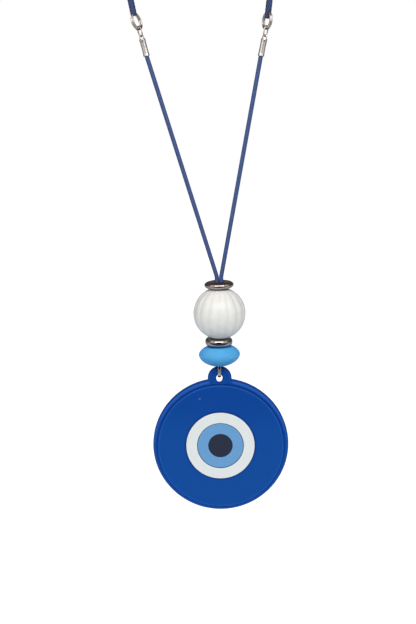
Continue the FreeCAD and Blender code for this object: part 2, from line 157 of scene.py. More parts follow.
# Pendant ring: flat wire with a slit that makes two prongs of it in front
PENDANT_RING_WIRE_R = 0.50
FLAT_WIRE = (0.46, 0.58, 0.2)  # half its depth, half its width, fillet
RING_GAP = 0.02
RING_GAP_PLACE = 100.0  # degrees round the ring
SLIT_HALF_WIDTH = 0.25
SLIT_EDGE = 0.07
SLIT_DEPTH = 1.35  # in half depths of the wire
RING_IN_HOLE = 1.75  # from the ring's middle down to where the hole shades it

# Pendant
DISC_R = 24.0
DISC_HALF_THICKNESS = 1.5
DISC_SEGMENTS = 480
FACE_Y = -1.30
POCKET_FLOOR_Y = -0.5
POCKET_GAP = 0.02
GROOVE_INNER_R = 22.25
# GROOVE_LIP_R: where a painted light line runs along the groove's lip
GROOVE_LIP_R = 22.16
GROOVE_R = 22.52
GROOVE_FLOOR_R = (22.40, 22.56)
GROOVE_FLOOR_Y = -1.03
GROOVE_DROP = 0.6  # how far the groove's circle lies below the disc's own
RIM_SHOULDERS = ((23.05, -1.42), (23.60, -1.50))  # radius and Y
# RIM_CROWN_R: where the painted highlight on the rim's crown peaks
RIM_CROWN_R = 23.35
EDGE_START_Y = -0.62
EDGE_SHADE_R = 23.55
EYE_SHIFT_FADES = (13.0, 6.0)  # the radius where the eye's shift starts to fade, and over what length
TAB_R = 4.2
TAB_X = 0.1
TAB_HALF_THICKNESS = 1.2
TAB_RAISED = 0.06  # how far its front stands above that half thickness
TAB_SEGMENTS = 240
TAB_FOOT_R = 22.10  # from the disc's middle to where the tab ends in the groove
HOLE_R = 1.43
HOLE_HALF_WIDTH = 1.12
HOLE_STRETCH_DOWN = 1.14
HOLE_ABOVE_TAB = 0.1
RIM_UNDER_HOLE_R = GROOVE_R
WHITE_R = 12.2
LIGHT_BLUE_R = 8.18
PUPIL_R = 4.2
WHITE_Y = -1.45
LIGHT_BLUE_Y = -1.36
PUPIL_Y = -1.22
FILL_FILLET = 0.22
FILL_SEGMENTS = 240


# ---------- places read from the frame
def centre(node):
    low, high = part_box(node)
    return np.array((low + high) / 2) / MM


def top(node):
    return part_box(node)[1].z / MM


def foot(node):
    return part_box(node)[0].z / MM


def joint_place(name):
    found = next(joint for joint in frame["joints"] if joint["name"] == name)
    return np.array(found["pos_m"]) / MM


def unit(vector):
    return vector / np.linalg.norm(vector)


def leaning(lean):
    """The upward direction that leans left by lean degrees."""
    angle = math.radians(lean)
    return np.array((-math.sin(angle), 0.0, math.cos(angle)))


def ease(share):
    """A smooth step from 0 to 1 as share goes from 0 to 1."""
    share = np.clip(share, 0.0, 1.0)
    return share * share * (3.0 - 2.0 * share)


def hump(distance, width):
    """1 at no distance, fading to 0 over about twice width on both sides."""
    return np.exp(-(distance / width) ** 2)


def apart(angle, other):
    """The angle between two directions, from 0 to pi."""
    return np.abs((angle - other + np.pi) % (2 * np.pi) - np.pi)


# ---------- outlines and paths
def rounded(corners, steps=5):
    """A closed outline through (x, y, fillet) corners."""
    outline = []
    for index, (x, y, fillet) in enumerate(corners):
        here = np.array((x, y), float)
        if fillet == 0:
            outline.append(here)
            continue
        before = unit(np.array(corners[index - 1][:2]) - here)
        after = unit(np.array(corners[(index + 1) % len(corners)][:2]) - here)
        half = math.acos(np.clip(before @ after, -1.0, 1.0)) / 2
        middle = here + unit(before + after) * fillet / math.sin(half)
        start = here + before * fillet / math.tan(half) - middle
        end = here + after * fillet / math.tan(half) - middle
        sweep_angle = math.pi - 2 * half
        for step in range(steps + 1):
            turned = sweep_angle * step / steps
            arm = start * math.sin(sweep_angle - turned) + end * math.sin(turned)
            outline.append(middle + arm / math.sin(sweep_angle))
    return np.array(outline)


def divided(outline, step):
    """The same closed outline with its long straight runs cut into short ones."""
    points = []
    for start, end in zip(outline, np.roll(outline, -1, axis=0)):
        count = max(1, math.ceil(np.linalg.norm(end - start) / step))
        for index in range(count):
            points.append(start + (end - start) * index / count)
    return np.array(points)


def oval(half_width, half_height, power, steps):
    """A closed superellipse outline about (0, 0)."""
    angle = np.arange(steps) * 2 * np.pi / steps
    across = np.sign(np.cos(angle)) * np.abs(np.cos(angle)) ** (2 / power)
    height = np.sign(np.sin(angle)) * np.abs(np.sin(angle)) ** (2 / power)
    return np.stack((across * half_width, height * half_height), axis=1)


def even(path, step):
    """The path again, with points a fixed step apart."""
    lengths = np.concatenate(([0.0], np.cumsum(np.linalg.norm(np.diff(path, axis=0), axis=1))))
    count = max(2, round(lengths[-1] / step) + 1)
    wanted = np.linspace(0.0, lengths[-1], count)
    return np.stack([np.interp(wanted, lengths, path[:, axis]) for axis in range(3)], axis=1)


def eased_path(corners, step, bend):
    """A path through corner points, with each corner eased over a length of cord."""
    path = even(np.array(corners, float), step)
    reach = max(1, round(bend / step))
    padded = np.concatenate((
        path[0] + (path[0] - path[1]) * np.arange(reach, 0, -1)[:, None],
        path,
        path[-1] + (path[-1] - path[-2]) * np.arange(1, reach + 1)[:, None],
    ))
    kernel = np.hanning(2 * reach + 3)[1:-1]
    kernel /= kernel.sum()
    eased = [np.convolve(padded[:, axis], kernel, mode="valid") for axis in range(3)]
    return even(np.stack(eased, axis=1), step)


def curve_path(poles, step):
    """A cubic curve through its first and last pole."""
    samples = 400
    share = np.linspace(0.0, 1.0, samples)[:, None]
    rest = 1 - share
    weights = (rest ** 3, 3 * share * rest ** 2, 3 * share ** 2 * rest, share ** 3)
    return even(sum(weight * pole for weight, pole in zip(weights, poles)), step)


def arc(radius, start, end, z, points):
    """Points along an arc in the XZ plane about (0, 0, z)."""
    angle = np.linspace(start, end, points)
    return np.stack((radius * np.cos(angle), np.zeros(points), radius * np.sin(angle) + z), axis=1)


# ---------- surfaces as rings of points
def lathe(outline, segments, swell=None):
    """Rings of points: an outline of (radius, height) turned about +Z."""
    angle = np.arange(segments) * 2 * np.pi / segments
    radius = outline[:, :1] + np.zeros(segments)
    height = outline[:, 1:] + np.zeros(segments)
    if swell is not None:
        radius = radius + swell(radius, height, angle + np.zeros_like(radius))
    return np.stack((radius * np.cos(angle), radius * np.sin(angle), height), axis=2)


CUT_END = ((0.0, 0.45), (0.08, 0.75), (0.3, 0.93), (1.0, 1.0))  # bevel lengths in, share of radius
BEYOND_CUT_END = 1.05  # bevel lengths in to the plain part


def sweep(path, section, bevel, relief=None):
    """Rings of points along a path with cut ends, and the length along the path to each ring.

    section is (steps, 2): first across the path within the XZ plane, then along Y.
    """
    start = unit(path[1] - path[0])
    end = unit(path[-2] - path[-1])
    to_head = np.linalg.norm(path - path[0], axis=1)
    to_tail = np.linalg.norm(path - path[-1], axis=1)
    inner = path[np.minimum(to_head, to_tail) > BEYOND_CUT_END * bevel]
    head = [path[0] + start * bevel * place for place, _ in CUT_END]
    tail = [path[-1] + end * bevel * place for place, _ in reversed(CUT_END)]
    path = np.concatenate((head, inner, tail))
    shares = [share for _, share in CUT_END]
    taper = np.concatenate((shares, np.ones(len(inner)), shares[::-1]))
    along = np.gradient(path, axis=0)
    along /= np.linalg.norm(along, axis=1)[:, None]
    side = np.cross(along, Y_AXIS)
    side /= np.linalg.norm(side, axis=1)[:, None]
    up = np.cross(side, along)
    lengths = np.concatenate(([0.0], np.cumsum(np.linalg.norm(np.diff(path, axis=0), axis=1))))
    ring = section[None, :, :1] * side[:, None, :] + section[None, :, 1:] * up[:, None, :]
    if relief is not None:
        around = np.arange(len(section)) / len(section)
        lift = relief(around[None, :], lengths[:, None])
        ring = ring * (1 + lift / np.linalg.norm(section, axis=1)[None, :])[..., None]
    return path[:, None, :] + ring * taper[:, None, None], lengths


def circle(radius, steps):
    angle = np.arange(steps) * 2 * np.pi / steps
    return np.stack((np.cos(angle), np.sin(angle)), axis=1) * radius


def placed(rings, turn, up, place):
    """Turn rings about +Z by turn degrees, lean +Z over to up within the XZ plane, then move."""
    angle = math.radians(turn)
    x, y, z = rings[..., 0], rings[..., 1], rings[..., 2]
    turned_x = x * math.cos(angle) - y * math.sin(angle)
    turned_y = x * math.sin(angle) + y * math.cos(angle)
    across = np.array((up[2], 0.0, -up[0]))
    return (turned_x[..., None] * across + turned_y[..., None] * Y_AXIS
            + z[..., None] * np.array(up) + np.array(place))


def facing_front(rings, place):
    """Stand a lathe surface so that its +Z looks along +Y, with its middle at place."""
    return np.stack((rings[..., 0], rings[..., 2], rings[..., 1]), axis=-1) + np.array(place)


# ---------- meshes
def skin(rings, closed):
    """Quads over rings of points, outward, with the row and unwrapped column of every corner."""
    rows, columns, _ = rings.shape
    last = rows if closed else rows - 1
    row, column = np.meshgrid(np.arange(last), np.arange(columns), indexing="ij")
    row_corners = np.stack((row, row, row + 1, row + 1), axis=-1).reshape(-1, 4)
    column_corners = np.stack((column, column + 1, column + 1, column), axis=-1).reshape(-1, 4)
    quads = (row_corners % rows) * columns + column_corners % columns
    points = rings.reshape(-1, 3)
    a, b, c, d = (points[quads[:, corner]] for corner in range(4))
    middle = points.mean(axis=0)
    volume = np.einsum("ij,ij->", np.cross(b - a, c - a), a - middle)
    volume += np.einsum("ij,ij->", np.cross(c - a, d - a), a - middle)
    if volume < 0:
        quads, row_corners, column_corners = (
            part[:, ::-1] for part in (quads, row_corners, column_corners))
    return quads, row_corners, column_corners, volume < 0


def make_piece(name, rings, closed, body, nodes, material, lengths=None, tone=None, sharp=40.0):
    """One mesh over rings of points, standing for CAD nodes and riding a CAD body when one is named.

    body is a body's name. Given instead as two names and the places where a blend between them starts and
    ends, it is not used, and the piece rides no body.
    lengths, for a braid, and tone, the painted light and shade, are what the materials read as
    attributes.
    """
    rows, columns, _ = rings.shape
    quads, row_corners, column_corners, flipped = skin(rings, closed)
    faces = quads.tolist()
    if not closed:
        first = list(range(columns))
        last = [(rows - 1) * columns + column for column in range(columns)]
        faces.append(first if flipped else first[::-1])
        faces.append(last[::-1] if flipped else last)
    mesh = bpy.data.meshes.new(name)
    mesh.from_pydata((rings.reshape(-1, 3) * MM).tolist(), [], faces)
    if lengths is not None:
        weave = np.zeros((len(mesh.loops), 3), np.float32)
        weave[:quads.size, 0] = column_corners.ravel() / columns
        weave[:quads.size, 1] = lengths[row_corners.ravel() % rows]
        mesh.attributes.new("weave", "FLOAT_VECTOR", "CORNER").data.foreach_set("vector", weave.ravel())
    if tone is not None:
        values = (tone + np.zeros((rows, columns))).astype(np.float32)
        mesh.attributes.new("tone", "FLOAT", "POINT").data.foreach_set("value", values.ravel())
    mesh.update()
    mesh.shade_smooth()
    mesh.set_sharp_from_angle(angle=math.radians(sharp))
    piece = bpy.data.objects.new(name, mesh)
    bpy.context.scene.collection.objects.link(piece)
    mesh.materials.append(material)
    if isinstance(body, str):
        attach(piece, body)
    else:
        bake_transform(piece)
    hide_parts(*nodes)
    return piece


# ---------- materials
class Nodes:
    """A node tree made by short calls, which give back the node or the socket that they made."""

    def __init__(self, tree):
        self.tree = tree

    def plug(self, socket, value):
        if isinstance(value, bpy.types.NodeSocket):
            self.tree.links.new(value, socket)
        elif isinstance(value, tuple) and len(value) == 3 and socket.type == "RGBA":
            socket.default_value = (*value, 1.0)
        else:
            socket.default_value = value

    def node(self, kind, **settings):
        made = self.tree.nodes.new(kind)
        for name, value in settings.items():
            setattr(made, name, value)
        return made

    def math(self, operation, first, second=0.0, third=0.0):
        made = self.node("ShaderNodeMath", operation=operation)
        for socket, value in zip(made.inputs, (first, second, third)):
            self.plug(socket, value)
        return made.outputs[0]

    def mix(self, share, first, second):
        made = self.node("ShaderNodeMix", data_type="RGBA")
        self.plug(made.inputs["Factor"], share)
        for socket in made.inputs:
            if socket.type == "RGBA":
                self.plug(socket, first if socket.name == "A" else second)
        return next(socket for socket in made.outputs if socket.type == "RGBA")

    def between(self, value, low, high, first=0.0, last=1.0):
        """value rescaled from low..high to first..last, smoothly and clamped."""
        made = self.node("ShaderNodeMapRange", interpolation_type="SMOOTHSTEP")
        for name, number in (("From Min", low), ("From Max", high), ("To Min", first), ("To Max", last)):
            made.inputs[name].default_value = number
        self.plug(made.inputs["Value"], value)
        return made.outputs[0]


class Shader(Nodes):
    """A Principled material."""

    def __init__(self, name, roughness, metallic=0.0):
        self.material = bpy.data.materials.new(name)
        self.material.use_nodes = True
        super().__init__(self.material.node_tree)
        self.surface = self.tree.nodes["Principled BSDF"]
        self.put("Metallic", metallic)
        self.put("Roughness", roughness)

    def put(self, name, value):
        self.plug(self.surface.inputs[name], value)

    def places(self):
        return self.node("ShaderNodeTexCoord").outputs["Object"]

    def noise(self, size, detail, roughness=0.5):
        """Noise with features of about size millimetres."""
        made = self.node("ShaderNodeTexNoise")
        self.plug(made.inputs["Vector"], self.places())
        made.inputs["Scale"].default_value = 1.0 / (size * MM)
        made.inputs["Detail"].default_value = detail
        made.inputs["Roughness"].default_value = roughness
        return made.outputs["Fac"]

    def specks(self, size, share):
        """1 in small round specks that take about share of the cells of a size-millimetre grid."""
        made = self.node("ShaderNodeTexVoronoi")
        self.plug(made.inputs["Vector"], self.places())
        made.inputs["Scale"].default_value = 1.0 / (size * MM)
        chosen = self.node("ShaderNodeSeparateColor")
        self.plug(chosen.inputs[0], made.outputs["Color"])
        speck_radius = 0.16
        near = self.math("LESS_THAN", made.outputs["Distance"], speck_radius)
        few = self.math("LESS_THAN", chosen.outputs[0], share)
        return self.math("MULTIPLY", near, few)

    def facing(self):
        """0 where the surface faces the eye, 1 at its outline."""
        made = self.node("ShaderNodeLayerWeight")
        made.inputs["Blend"].default_value = 0.5
        return made.outputs["Facing"]

    # The attribute of painted light and shade that a piece carries.
    def tone(self):
        return self.node("ShaderNodeAttribute", attribute_name="tone").outputs["Fac"]

    def bump(self, height, distance, strength=1.0):
        made = self.node("ShaderNodeBump")
        made.inputs["Strength"].default_value = strength
        made.inputs["Distance"].default_value = distance * MM
        self.plug(made.inputs["Height"], height)
        self.put("Normal", made.outputs[0])


def braid_relief(pitch, height):
    """How far a braided surface stands out, as a function of place round and along the cord."""
    def relief(around, along):
        first = BRAID_CELLS * around + along / pitch
        second = BRAID_CELLS * around - along / pitch
        over = (np.floor(first) + np.floor(second)) % 2
        across = np.where(over == 0, first % 1, second % 1)
        onward = np.where(over == 0, second % 1, first % 1)
        ridge = 1 - np.abs(2 * across - 1) ** BRAID_ROUNDNESS
        crown = 0.55 + 0.45 * np.sin(np.pi * onward)
        return height * (ridge * crown - 0.75)
    return relief


def braid_material(name, pitch, shadow, body, crown_highlight, edge, roughness):
    """Two families of strands over and under each other, with fibres along each strand, painted shade
    between the strands and where the cord turns away, and a painted highlight, patchy with noise, on the
    strand tops.
    """
    shader = Shader(name, roughness)
    weave = shader.node("ShaderNodeAttribute", attribute_name="weave").outputs["Vector"]
    split = shader.node("ShaderNodeSeparateXYZ")
    shader.plug(split.inputs[0], weave)
    round_cord = shader.math("MULTIPLY", split.outputs[0], float(BRAID_CELLS))
    along = shader.math("DIVIDE", split.outputs[1], pitch)
    first = shader.math("ADD", round_cord, along)
    second = shader.math("SUBTRACT", round_cord, along)
    sides = shader.math("ADD", shader.math("FLOOR", first), shader.math("FLOOR", second))
    over = shader.math("FLOORED_MODULO", sides, 2.0)
    first_part = shader.math("FRACT", first)
    second_part = shader.math("FRACT", second)
    swap = shader.math("SUBTRACT", second_part, first_part)
    across = shader.math("MULTIPLY_ADD", swap, over, first_part)
    onward = shader.math("SUBTRACT", shader.math("ADD", first_part, second_part), across)
    offset = shader.math("ABSOLUTE", shader.math("MULTIPLY_ADD", across, 2.0, -1.0))
    ridge = shader.math("SUBTRACT", 1.0, shader.math("POWER", offset, BRAID_ROUNDNESS))
    crown = shader.math("SINE", shader.math("MULTIPLY", onward, math.pi))
    fibres = shader.math("SINE", shader.math("MULTIPLY", across, 2 * math.pi * FIBRES))
    fuzz = shader.noise(0.25, detail=4.0, roughness=0.7)
    top_of_strand = shader.math("MULTIPLY", ridge, crown)
    lit = shader.math("MULTIPLY", top_of_strand, shader.between(fuzz, 0.42, 0.68))
    # Painted shade between the strands, a painted highlight on their tops, and painted shade at the
    # cord's outline.
    base = shader.mix(shader.between(ridge, 0.0, 0.75), shadow, body)
    base = shader.mix(shader.math("MULTIPLY", lit, 0.85), base, crown_highlight)
    base = shader.mix(shader.between(shader.facing(), 0.15, 0.65), base, edge)
    shader.put("Base Color", base)
    height = shader.math("MULTIPLY_ADD", fibres, 0.12, shader.math("MULTIPLY", ridge, 0.3))
    shader.bump(shader.math("MULTIPLY_ADD", fuzz, 0.5, height), 0.05, 0.8)
    shader.put("Sheen Weight", 0.08)
    shader.put("Sheen Roughness", 0.4)
    shader.put("Specular IOR Level", 0.35)
    return shader.material


def metal_material(name, colour, tarnish, edge, roughness):
    """Plated metal with a faint uneven polish, painted dark reflection on its edges, and painted black
    shade in a deep gap where its painted shading is above 0.
    """
    relief = 0.0006
    gap_shade_black = (0.008, 0.008, 0.010)
    shader = Shader(name, roughness, metallic=1.0)
    cloud = shader.noise(0.9, detail=3.0)
    grain = shader.noise(0.10, detail=2.0)
    base = shader.mix(shader.between(cloud, 0.35, 0.75), colour, tarnish)
    # Painted dark reflection where the metal turns away.
    base = shader.mix(shader.between(shader.facing(), 0.28, 0.55), base, edge)
    # Painted black shade in deep gaps.
    shader.put("Base Color", shader.mix(shader.tone(), base, gap_shade_black))
    shader.put("Roughness", shader.between(cloud, 0.3, 0.7, roughness * 0.85, roughness * 1.2))
    shader.bump(shader.math("MULTIPLY_ADD", cloud, 2.0, grain), relief, 0.5)
    return shader.material


def melon_material():
    """Satin white resin, with painted shade greying its valleys and painted bluish-grey shade where it
    turns away.
    """
    body, pale = (0.755, 0.755, 0.72), (0.795, 0.795, 0.76)
    valley, outline, speck = (0.66, 0.70, 0.70), (0.34, 0.42, 0.55), (0.6, 0.6, 0.57)
    shader = Shader("melon_satin_white", 0.42)
    base = shader.mix(shader.between(shader.noise(2.5, detail=3.0), 0.3, 0.7), body, pale)
    # Painted shade in the valleys, then painted bluish-grey shade towards the outline.
    base = shader.mix(shader.math("MULTIPLY", shader.tone(), 0.35), base, valley)
    base = shader.mix(shader.between(shader.facing(), 0.72, 0.97), base, outline)
    base = shader.mix(shader.math("MULTIPLY", shader.specks(1.3, 0.03), 0.3), base, speck)
    shader.put("Base Color", base)
    shader.bump(shader.noise(0.35, detail=3.0), 0.010, 0.4)
    shader.put("Subsurface Weight", 0.12)
    shader.put("Subsurface Radius", (0.0012, 0.0011, 0.0010))
    shader.put("Subsurface Scale", 1.0)
    return shader.material


def silicone_material():
    """Matte sky blue silicone that light soaks into, with painted deeper blue shade where it turns away.
    """
    body, pale = (0.080, 0.37, 0.69), (0.090, 0.385, 0.70)
    outline, speck = (0.040, 0.30, 0.88), (0.3, 0.55, 0.8)
    shader = Shader("sky_blue_silicone", 0.55)
    middle = shader.mix(shader.between(shader.noise(1.8, detail=3.0), 0.35, 0.65), body, pale)
    # Painted deeper blue shade towards the outline.
    base = shader.mix(shader.between(shader.facing(), 0.45, 0.95), middle, outline)
    dust = shader.math("MULTIPLY", shader.specks(0.9, 0.03), 0.4)
    shader.put("Base Color", shader.mix(dust, base, speck))
    shader.bump(shader.noise(0.12, detail=3.0), 0.012, 0.5)
    shader.put("Specular IOR Level", 0.25)
    shader.put("Subsurface Weight", 0.6)
    shader.put("Subsurface Radius", (0.0010, 0.0020, 0.0026))
    shader.put("Subsurface Scale", 1.0)
    return shader.material


def vinyl_material(name, colour, lit, shaded, roughness=0.4):
    """Soft moulded vinyl. tone above 0 goes towards lit, below 0 towards shaded."""
    shader = Shader(name, roughness)
    cloud = shader.noise(3.0, detail=3.0)
    dimmer = tuple(part * 0.975 for part in colour)
    base = shader.mix(shader.between(cloud, 0.3, 0.7), colour, dimmer)
    tone = shader.tone()
    base = shader.mix(shader.math("MAXIMUM", tone, 0.0), base, lit)
    base = shader.mix(shader.math("MAXIMUM", shader.math("MULTIPLY", tone, -1.0), 0.0), base, shaded)
    dust = shader.math("MULTIPLY", shader.specks(2.3, 0.015), 0.35)
    shader.put("Base Color", shader.mix(dust, base, tuple(0.6 * part + 0.25 for part in colour)))
    shader.put("Roughness", shader.between(cloud, 0.3, 0.7, roughness * 0.9, roughness * 1.1))
    shader.bump(shader.noise(0.16, detail=3.0), 0.010, 0.4)
    shader.put("Specular IOR Level", 0.12)
    return shader.material


# The braids' shadow and edge colours are painted shade, and the colour of their lit strand tops is a
# painted highlight. The metals' edge colours are painted dark reflection, and the vinyls' lit and shaded
# colours are painted light and shade.
NECK_BRAID = braid_material(
    "navy_polyester_braid", NECK_BRAID_PITCH, shadow=(0.003, 0.009, 0.055), body=(0.012, 0.030, 0.118),
    crown_highlight=(0.16, 0.23, 0.41), edge=(0.003, 0.010, 0.070), roughness=0.55)
THIN_BRAID = braid_material(
    "navy_nylon_braid", THIN_BRAID_PITCH, shadow=(0.012, 0.034, 0.15), body=(0.040, 0.080, 0.225),
    crown_highlight=(0.11, 0.17, 0.35), edge=(0.005, 0.030, 0.17), roughness=0.5)
SILVER = metal_material("silver_plate", colour=(0.74, 0.69, 0.66), tarnish=(0.68, 0.63, 0.60),
                        edge=(0.09, 0.070, 0.065), roughness=0.34)
SILVER_WIRE = metal_material("silver_wire", colour=(0.70, 0.63, 0.59), tarnish=(0.62, 0.55, 0.50),
                             edge=(0.09, 0.060, 0.050), roughness=0.46)
NICKEL = metal_material("nickel_wire", colour=(0.60, 0.555, 0.52), tarnish=(0.46, 0.42, 0.39),
                        edge=(0.30, 0.27, 0.25), roughness=0.45)
GUNMETAL = metal_material("dark_nickel_plate", colour=(0.40, 0.355, 0.35), tarnish=(0.34, 0.30, 0.30),
                          edge=(0.24, 0.20, 0.20), roughness=0.07)
MELON_WHITE = melon_material()
SKY_BLUE = silicone_material()
ROYAL_BLUE = vinyl_material("royal_blue_vinyl", colour=(0.0045, 0.067, 0.312), lit=(0.016, 0.120, 0.52),
                            shaded=(0.0, 0.026, 0.24))
WHITE = vinyl_material("white_vinyl", colour=(0.725, 0.765, 0.765), lit=(0.90, 0.93, 0.94),
                       shaded=(0.03, 0.05, 0.17))
LIGHT_BLUE = vinyl_material("light_blue_vinyl", colour=(0.138, 0.335, 0.61), lit=(0.23, 0.45, 0.72),
                            shaded=(0.03, 0.05, 0.13))
INK = vinyl_material("ink_vinyl", colour=(0.024, 0.031, 0.054), lit=(0.05, 0.08, 0.14),
                     shaded=(0.006, 0.008, 0.02), roughness=0.42)


# ---------- cords
def neck_half(side, ring_head, across):
    """Half of the neck cord, from its cut end below the ring's wire up to the peg."""
    direction = leaning(NECK_LEAN[side])
    crown = np.array((0.0, 0.0, NECK_CORD_R))
    poles = (ring_head, ring_head + direction * NECK_SIDE_HANDLE, crown + across * NECK_TOP_HANDLE, crown)
    path = curve_path(poles, NECK_STEP)
    below = ring_head - direction * np.linspace(NECK_END_DROP[side], NECK_STEP, 10)[:, None]
    return np.concatenate((below, path))


def build_neck_cord():
    """The whole neck cord as one braid, in two meshes that meet at the peg."""
    left = neck_half("left", joint_place("left_ring_swing"), -X_AXIS)
    right = neck_half("right", joint_place("right_ring_swing"), X_AXIS)
    whole = even(np.concatenate((left, right[::-1][1:])), NECK_STEP)
    rings, lengths = sweep(whole, circle(NECK_CORD_R, NECK_SEGMENTS), NECK_BEVEL,
                           braid_relief(NECK_BRAID_PITCH, NECK_BRAID_HEIGHT))
    middle = len(rings) // 2
    halves = (("left_neck_braid", slice(0, middle + 1)), ("right_neck_braid", slice(middle, None)))
    for name, rows in halves:
        make_piece(name, rings[rows], False, "neck", ["neck_cord"], NECK_BRAID,
                   lengths=lengths[rows], sharp=80.0)


def build_thin_cord(name, path, body, nodes):
    """One braided length of the thin cord."""
    rings, lengths = sweep(path, circle(THIN_CORD_R, THIN_SEGMENTS), THIN_BEVEL,
                           braid_relief(THIN_BRAID_PITCH, THIN_BRAID_HEIGHT))
    make_piece(name, rings, False, body, nodes, THIN_BRAID, lengths=lengths, sharp=80.0)


def build_leg(side, strand_x):
    """One strand of the thin cord, from inside its tube down through the beads."""
    up = leaning(TUBE_LEAN[side])
    tube_foot = centre(f"{side}_ferrule") - up * TUBE_LENGTH / 2
    joint_z = joint_place("bead_string_swing")[2]
    corners = (
        tube_foot + up * THIN_IN_TUBE,
        tube_foot - up * THIN_BEND_BELOW_TUBE,
        np.array((strand_x, 0.0, joint_z)),
        np.array((strand_x, 0.0, foot("cord_core"))),
    )
    bend = [(0.0, 0.0, (joint_z + height) * MM) for height in STRANDS_BEND]
    build_thin_cord(f"{side}_cord_braid", eased_path(corners, THIN_STEP, THIN_BEND_LENGTH),
                    ("drop", "strands", *bend), [f"{side}_cord_leg", "cord_core"])


def build_cord_loop():
    """The thin cord's turn round the pendant ring, inside the blue bead."""
    low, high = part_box("cord_loop")
    turn_r = (high.x - low.x) / MM / 2 - THIN_CORD_R
    turn = arc(turn_r, math.pi, 2 * math.pi, joint_place("pendant_ring_swing")[2], points=24)
    ends = [np.array((x, 0.0, top("cord_loop"))) for x in (-turn_r, turn_r)]
    path = even(np.concatenate((ends[:1], turn, ends[1:])), THIN_TURN_STEP)
    build_thin_cord("cord_turn_braid", path, "loop", ["cord_loop"])


# ---------- findings
def build_split_ring(side):
    """One wire wound twice, its ends lying flat against the coils beside them."""
    up = unit(joint_place(f"{side}_ring_swing") - joint_place(f"{side}_link_swing"))
    angle = np.linspace(0.0, 4 * math.pi - math.radians(SPLIT_GAP), 420)
    crossing_from, crossing_length = (math.radians(part) for part in SPLIT_CROSSING)
    y = SPLIT_COIL_STEP * (ease((angle - crossing_from) / crossing_length) - 0.5)
    round_ring = angle + math.radians(SPLIT_START)
    path = np.stack((SPLIT_RING_R * np.cos(round_ring), y, SPLIT_RING_R * np.sin(round_ring)), axis=1)
    rings, _ = sweep(path, oval(SPLIT_COIL_R, SPLIT_COIL_R * SPLIT_FLATNESS, SPLIT_POWER, 20), bevel=0.12)
    rings = placed(rings, RING_TURN[side], up, centre(f"{side}_split_ring"))
    make_piece(f"{side}_split_ring_coil", rings, False, f"{side}_ring", [f"{side}_split_ring"],
               SILVER_WIRE)


def oval_wire_path(width, height, gap, start):
    """Round the middle line of an oval ring of wire in the XZ plane, leaving a gap at start degrees."""
    points = 240
    step = 0.05
    radius = width / 2
    straight = height / 2 - radius
    angle = np.linspace(0.0, 2 * math.pi, points, endpoint=False)
    half = np.sign(np.sin(angle) + 1e-9)  # the points at half height belong to the upper bend
    z = radius * np.sin(angle) + straight * half
    loop = np.stack((radius * np.cos(angle), np.zeros(points), z), axis=1)
    loop = np.roll(loop, -round(start / 360 * points), axis=0)
    path = even(np.concatenate((loop, loop[:1])), step)
    cut = max(1, round(gap / step / 2))
    return path[cut:-cut]


def build_jump_ring(side):
    """An oval ring of wire that hangs between the split ring and the tube's eye."""
    to_eye = TUBE_LENGTH / 2 + EYE_FLANGE_HEIGHT + 2 * EYE_INNER_R
    eye = centre(f"{side}_ferrule") + leaning(TUBE_LEAN[side]) * to_eye
    middle = centre(f"{side}_jump_ring")
    path = oval_wire_path(*JUMP_SIZE, JUMP_GAP, JUMP_GAP_PLACE)
    rings, _ = sweep(path, circle(JUMP_WIRE_R, WIRE_SEGMENTS), bevel=0.05)
    rings = placed(rings, JUMP_TURN[side], unit(middle - eye), middle)
    make_piece(f"{side}_jump_ring_wire", rings, False, f"{side}_link", [f"{side}_jump_ring"],
               SILVER_WIRE)


def build_tube(side):
    """A rolled tube: flared lips, and a fine seam along its back."""
    half = TUBE_LENGTH / 2
    waist = TUBE_R - TUBE_FLARE
    upper = ((waist + TUBE_TAPER, half - TUBE_LIP, 0.6), (TUBE_R, half, 0.09), (TUBE_BORE_R, half, 0.05))
    lower = [(radius, -height, fillet) for radius, height, fillet in reversed(upper)]
    outline = divided(rounded((*lower, (waist, 0.0, 0.0), *upper)), step=0.25)
    seam_turn, seam_width, seam_depth = TUBE_SEAM

    def seam(radius, height, angle):
        outside = radius > TUBE_BORE_R + 0.05
        return -seam_depth * hump(apart(angle, math.radians(seam_turn)), seam_width) * outside

    rings = lathe(outline, segments=96, swell=seam)
    rings = placed(rings, 0.0, leaning(TUBE_LEAN[side]), centre(f"{side}_ferrule"))
    make_piece(f"{side}_tube", rings, True, "drop", [f"{side}_ferrule"], SILVER)


def build_tube_eye(side):
    """The cap on a tube, and the wire eye that stands in it."""
    up = leaning(TUBE_LEAN[side])
    tube_top = centre(f"{side}_ferrule") + up * TUBE_LENGTH / 2
    flange_top = EYE_FLANGE_HEIGHT
    outline = rounded((
        (AXIS_R, -CAP_PLUG_LENGTH, 0.0), (CAP_PLUG_R, -CAP_PLUG_LENGTH, 0.1), (CAP_PLUG_R, -0.02, 0.0),
        (EYE_FLANGE_R, 0.0, 0.06), (EYE_FLANGE_R - CAP_SLOPE, flange_top, 0.1),
        (CAP_DISH_R, flange_top - 0.08, 0.1), (AXIS_R, flange_top - 0.1, 0.0),
    ))
    cap = placed(lathe(divided(outline, step=0.15), segments=64), 0.0, up, tube_top)
    make_piece(f"{side}_tube_cap", cap, True, "drop", [f"{side}_ferrule_eye"], SILVER)
    arch = arc(EYE_MEAN_R, 0.0, math.pi, flange_top + EYE_INNER_R, points=28)
    feet = [np.array((x, 0.0, 0.0)) for x in (EYE_MEAN_R, -EYE_MEAN_R)]
    path = even(np.concatenate((feet[:1], arch, feet[1:])), 0.06)
    rings, _ = sweep(path, circle(EYE_WIRE_R, WIRE_SEGMENTS), bevel=0.04)
    rings = placed(rings, EYE_TURN[side], up, tube_top)
    make_piece(f"{side}_tube_wire_eye", rings, False, "drop", [f"{side}_ferrule_eye"],
               SILVER_WIRE)


